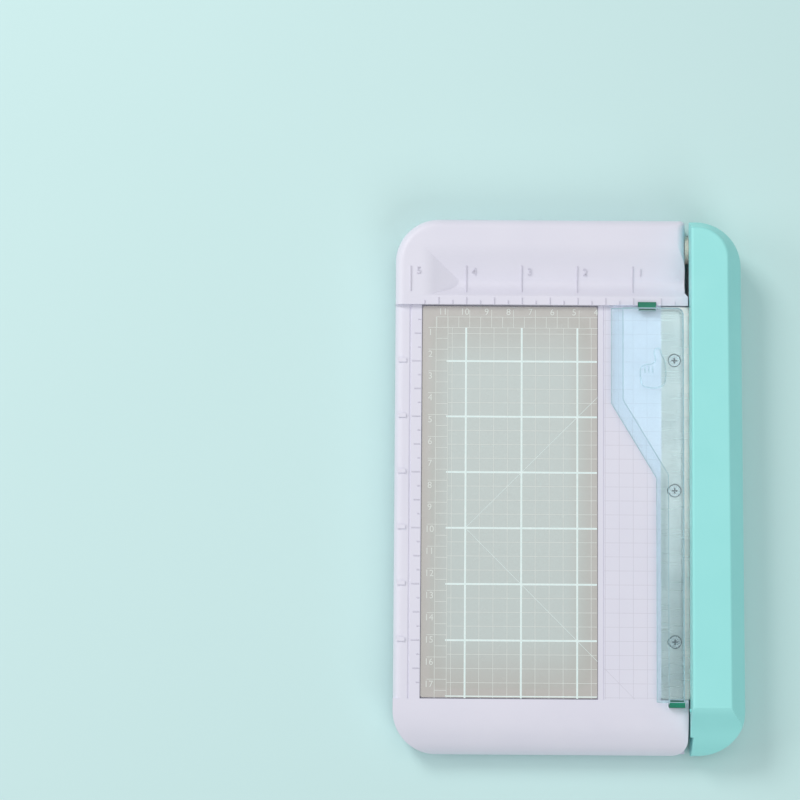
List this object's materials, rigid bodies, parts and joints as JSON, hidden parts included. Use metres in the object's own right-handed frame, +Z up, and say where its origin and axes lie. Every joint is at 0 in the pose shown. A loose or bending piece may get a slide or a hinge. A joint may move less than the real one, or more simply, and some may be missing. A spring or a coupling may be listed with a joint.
{
  "type": "guillotine paper cutter",
  "caption": "Small desktop guillotine paper cutter: gridded bed over an open base, sprung clear hand guard and full-length cutting arm hinged at the rear.",
  "frame": {"origin": "on the table, under the middle of the cutter's overall width and length", "axes": "+X to the cutting arm, +Y to the rear paper stop, +Z up"},
  "size_m": [0.1584, 0.244, 0.033],
  "materials": {
    "white_abs": "satin moulded ABS",
    "mint_abs": "satin moulded ABS",
    "smoke_acrylic": "polished smoked acrylic with printed grid",
    "clear_blue": "polished clear polycarbonate",
    "green_plastic": "satin moulded acetal",
    "blade_steel": "ground along its length",
    "screw_steel": "bright zinc plate",
    "spring_steel": "drawn wire",
    "bush_brass": "turned",
    "nylon": "natural nylon",
    "foot_rubber": "matt"
  },
  "bodies": {
    "base": {"base_frame": "white_abs", "rear_block": "white_abs", "front_block": "white_abs", "left_rail": "white_abs", "bed_plate": "white_abs", "panel_retainer": "white_abs", "scale_panel": "smoke_acrylic", "fixed_blade": "blade_steel", "fixed_blade_screws": "screw_steel", "block_screws": "screw_steel", "pivot_bracket": "screw_steel", "bracket_screws": "screw_steel", "pivot_bolt": "screw_steel", "pivot_washer": "nylon", "spring_washer": "screw_steel", "pivot_nut": "screw_steel", "foot_front_left": "foot_rubber", "foot_front_right": "foot_rubber", "foot_rear_left": "foot_rubber", "foot_rear_right": "foot_rubber", "rear_guide_spring": "spring_steel", "front_guide_spring": "spring_steel"},
    "arm": {"arm_cover": "mint_abs", "arm_liner": "mint_abs", "arm_liner_screws": "screw_steel", "moving_blade": "blade_steel", "moving_blade_screws": "screw_steel", "pivot_bush": "bush_brass", "pivot_cap": "mint_abs"},
    "guard": {"hand_guard": "clear_blue", "rear_guide": "green_plastic", "front_guide": "green_plastic"}
  },
  "joints": [
    {"name": "arm_hinge", "type": "hinge", "parent": "base", "child": "arm", "pos_m": [0.06475, 0.1091, 0.014], "axis": [-1, 0, 0], "range_deg": [0, 60]},
    {"name": "guard_press", "type": "slide", "parent": "base", "child": "guard", "axis": [0, 0, -1], "range_m": [0, 0.0018], "stiffness_N_per_m": 400, "springref_m": -0.004, "deforming": ["rear_guide_spring", "front_guide_spring"]}
  ]
}
